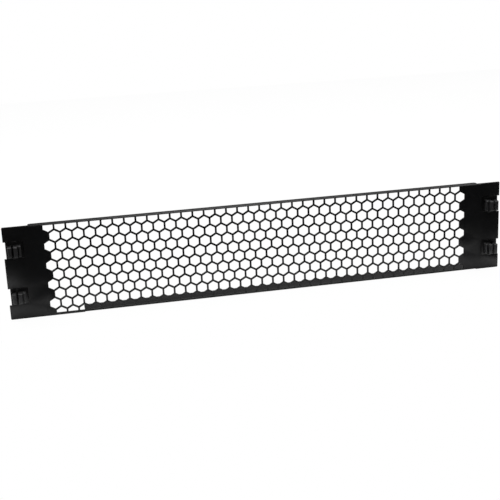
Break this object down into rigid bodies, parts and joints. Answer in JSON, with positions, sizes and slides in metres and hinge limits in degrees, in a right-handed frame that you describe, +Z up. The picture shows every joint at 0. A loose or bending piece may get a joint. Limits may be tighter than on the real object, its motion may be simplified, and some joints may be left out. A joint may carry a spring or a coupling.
{
  "type": "rack blanking panel",
  "caption": "Vented steel blanking panel, two rack units high, with hexagonal perforation, folded edges and moulded snap clips in notched ends.",
  "frame": {"origin": "middle of the plane where the clips lie on the rack rails, halfway between the two rail hole columns and halfway up the panel", "axes": "+X along the panel's width, +Z up, +Y towards the inside of the rack, so the front of the panel looks along -Y"},
  "size_m": [0.4826, 0.0245, 0.0882],
  "materials": {
    "panel": "black powder coat, satin with a fine texture",
    "clip": "black moulded nylon, satin"
  },
  "bodies": {
    "root": {"panel": "panel", "clip_upper_left": "clip", "clip_lower_left": "clip", "clip_upper_right": "clip", "clip_lower_right": "clip"}
  },
  "joints": []
}
